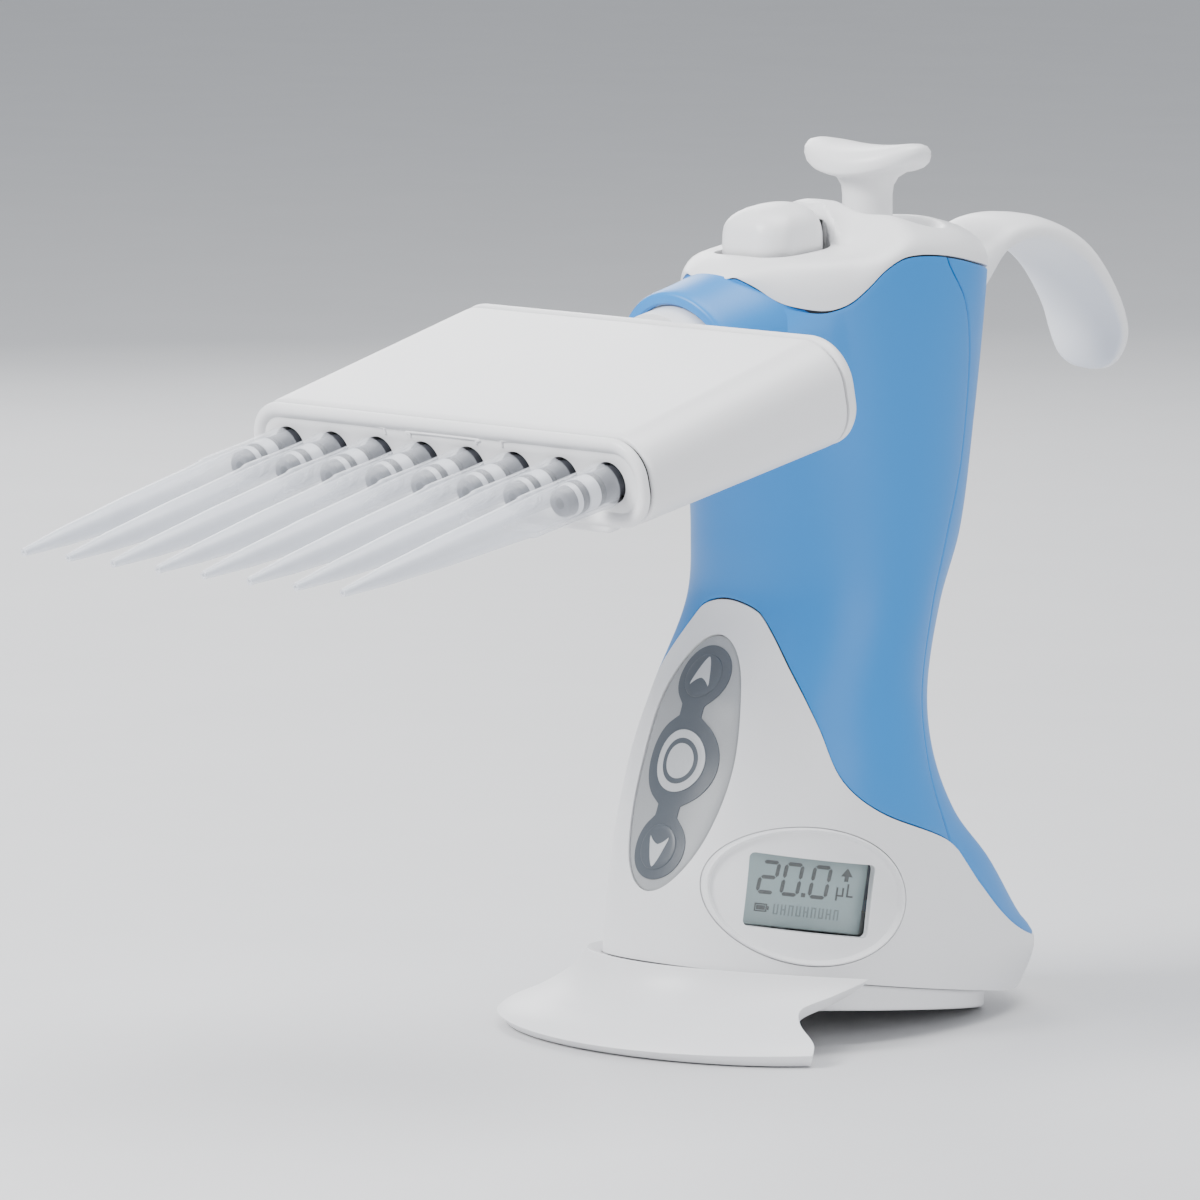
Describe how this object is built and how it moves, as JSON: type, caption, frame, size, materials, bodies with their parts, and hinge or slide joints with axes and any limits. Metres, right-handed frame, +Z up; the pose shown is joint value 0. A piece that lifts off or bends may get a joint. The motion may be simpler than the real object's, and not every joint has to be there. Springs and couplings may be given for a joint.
{
  "type": "multichannel pipette",
  "caption": "Self-standing electronic multichannel pipette with a swivelling flat nozzle head, thumb ejector knob, trigger, keypad, small display and a rear finger hook.",
  "frame": {"origin": "on the ground, under the middle of the object's bounding box", "axes": "+Z up; the tips point to -Y and down a little; the display is on the +X flank; the finger hook is at +Y"},
  "size_m": [0.077, 0.1832, 0.1256],
  "materials": {
    "white_casing": "satin moulded white",
    "blue_casing": "satin moulded sky blue",
    "grey_panel": "light grey film",
    "dark_keys": "dark grey film keys",
    "clear_window": "clear acrylic",
    "lcd_glass": "grey-green liquid crystal panel",
    "board": "green solder mask",
    "battery_sleeve": "shrink sleeve",
    "dark_frame": "glass-filled nylon",
    "motor_case": "brushed can",
    "steel": "ground stainless steel",
    "nozzle_grey": "grey nozzle with a white band",
    "seal_rubber": "dark seal rings",
    "aluminium_bar": "anodised bar",
    "tip_plastic": "translucent polypropylene"
  },
  "bodies": {
    "root": {"front_shell": "blue_casing", "back_cover": "blue_casing", "top_cap": "white_casing", "base_housing": "white_casing", "foot": "white_casing", "finger_hook": "white_casing", "keypad_panel": "grey_panel", "keypad_overlay": "dark_keys", "display_bezel": "white_casing", "display_window": "clear_window", "lcd_panel": "lcd_glass", "circuit_board": "board", "battery": "battery_sleeve", "chassis": "dark_frame", "actuator_motor": "motor_case", "neck_tube": "steel", "ejector_spring": "steel", "trigger_spring": "steel", "foot_screws": "steel"},
    "head": {"swivel_collar": "white_casing", "manifold_shell": "white_casing", "manifold_rear_cover": "white_casing", "nozzle_block": "dark_frame", "nozzles": "nozzle_grey", "nozzle_seals": "seal_rubber"},
    "drive": {"drive_screw": "steel"},
    "piston_set": {"piston_carrier": "aluminium_bar", "pistons": "steel"},
    "ejector": {"ejector_knob": "white_casing", "ejector_rod": "dark_frame"},
    "sleeve": {"ejector_slider": "steel"},
    "stripper": {"stripper_bridge": "aluminium_bar", "stripper_rods": "steel", "stripper_plate": "white_casing"},
    "tips": {"pipette_tips": "tip_plastic"},
    "trigger": {"trigger_button": "white_casing"},
    "up_key": {"key_up": "dark_keys"},
    "enter_key": {"key_enter": "dark_keys"},
    "down_key": {"key_down": "dark_keys"}
  },
  "joints": [
    {"name": "head_swivel", "type": "hinge", "parent": "root", "child": "head", "pos_m": [0, 0.01196, 0.0967], "axis": [0, -0.9781, -0.2079], "continuous": true},
    {"name": "drive_stroke", "type": "slide", "parent": "root", "child": "drive", "axis": [0, -0.9781, -0.2079], "range_m": [0, 0.01]},
    {"name": "piston_stroke", "type": "slide", "parent": "head", "child": "piston_set", "axis": [0, -0.9781, -0.2079], "range_m": [0, 0.01]},
    {"name": "ejector_press", "type": "slide", "parent": "root", "child": "ejector", "axis": [0, 0, -1], "range_m": [0, 0.007], "stiffness_N_per_m": 250, "springref_m": -0.008, "deforming": ["ejector_spring"]},
    {"name": "ejector_slide", "type": "slide", "parent": "root", "child": "sleeve", "axis": [0, -0.9781, -0.2079], "range_m": [0, 0.006]},
    {"name": "stripper_stroke", "type": "slide", "parent": "head", "child": "stripper", "axis": [0, -0.9781, -0.2079], "range_m": [0, 0.006]},
    {"name": "tips_release", "type": "slide", "parent": "head", "child": "tips", "axis": [0, -0.9781, -0.2079], "range_m": [0, 0.0048]},
    {"name": "trigger_press", "type": "slide", "parent": "root", "child": "trigger", "axis": [0, 0, -1], "range_m": [0, 0.0015], "stiffness_N_per_m": 400, "springref_m": -0.002, "deforming": ["trigger_spring"]},
    {"name": "key_up_press", "type": "slide", "parent": "root", "child": "up_key", "axis": [0, 0.9336, -0.3584], "range_m": [0, 0.0006], "stiffness_N_per_m": 800, "springref_m": -0.0006},
    {"name": "key_enter_press", "type": "slide", "parent": "root", "child": "enter_key", "axis": [0, 0.9336, -0.3584], "range_m": [0, 0.0006], "stiffness_N_per_m": 800, "springref_m": -0.0006},
    {"name": "key_down_press", "type": "slide", "parent": "root", "child": "down_key", "axis": [0, 0.9336, -0.3584], "range_m": [0, 0.0006], "stiffness_N_per_m": 800, "springref_m": -0.0006}
  ],
  "couplings": [
    {"joint": "piston_stroke", "follows": "drive_stroke", "ratio": 1},
    {"joint": "ejector_slide", "follows": "ejector_press", "ratio": 0.85714},
    {"joint": "stripper_stroke", "follows": "ejector_press", "ratio": 0.85714},
    {"joint": "tips_release", "follows": "ejector_press", "ratio": 0.6857}
  ]
}
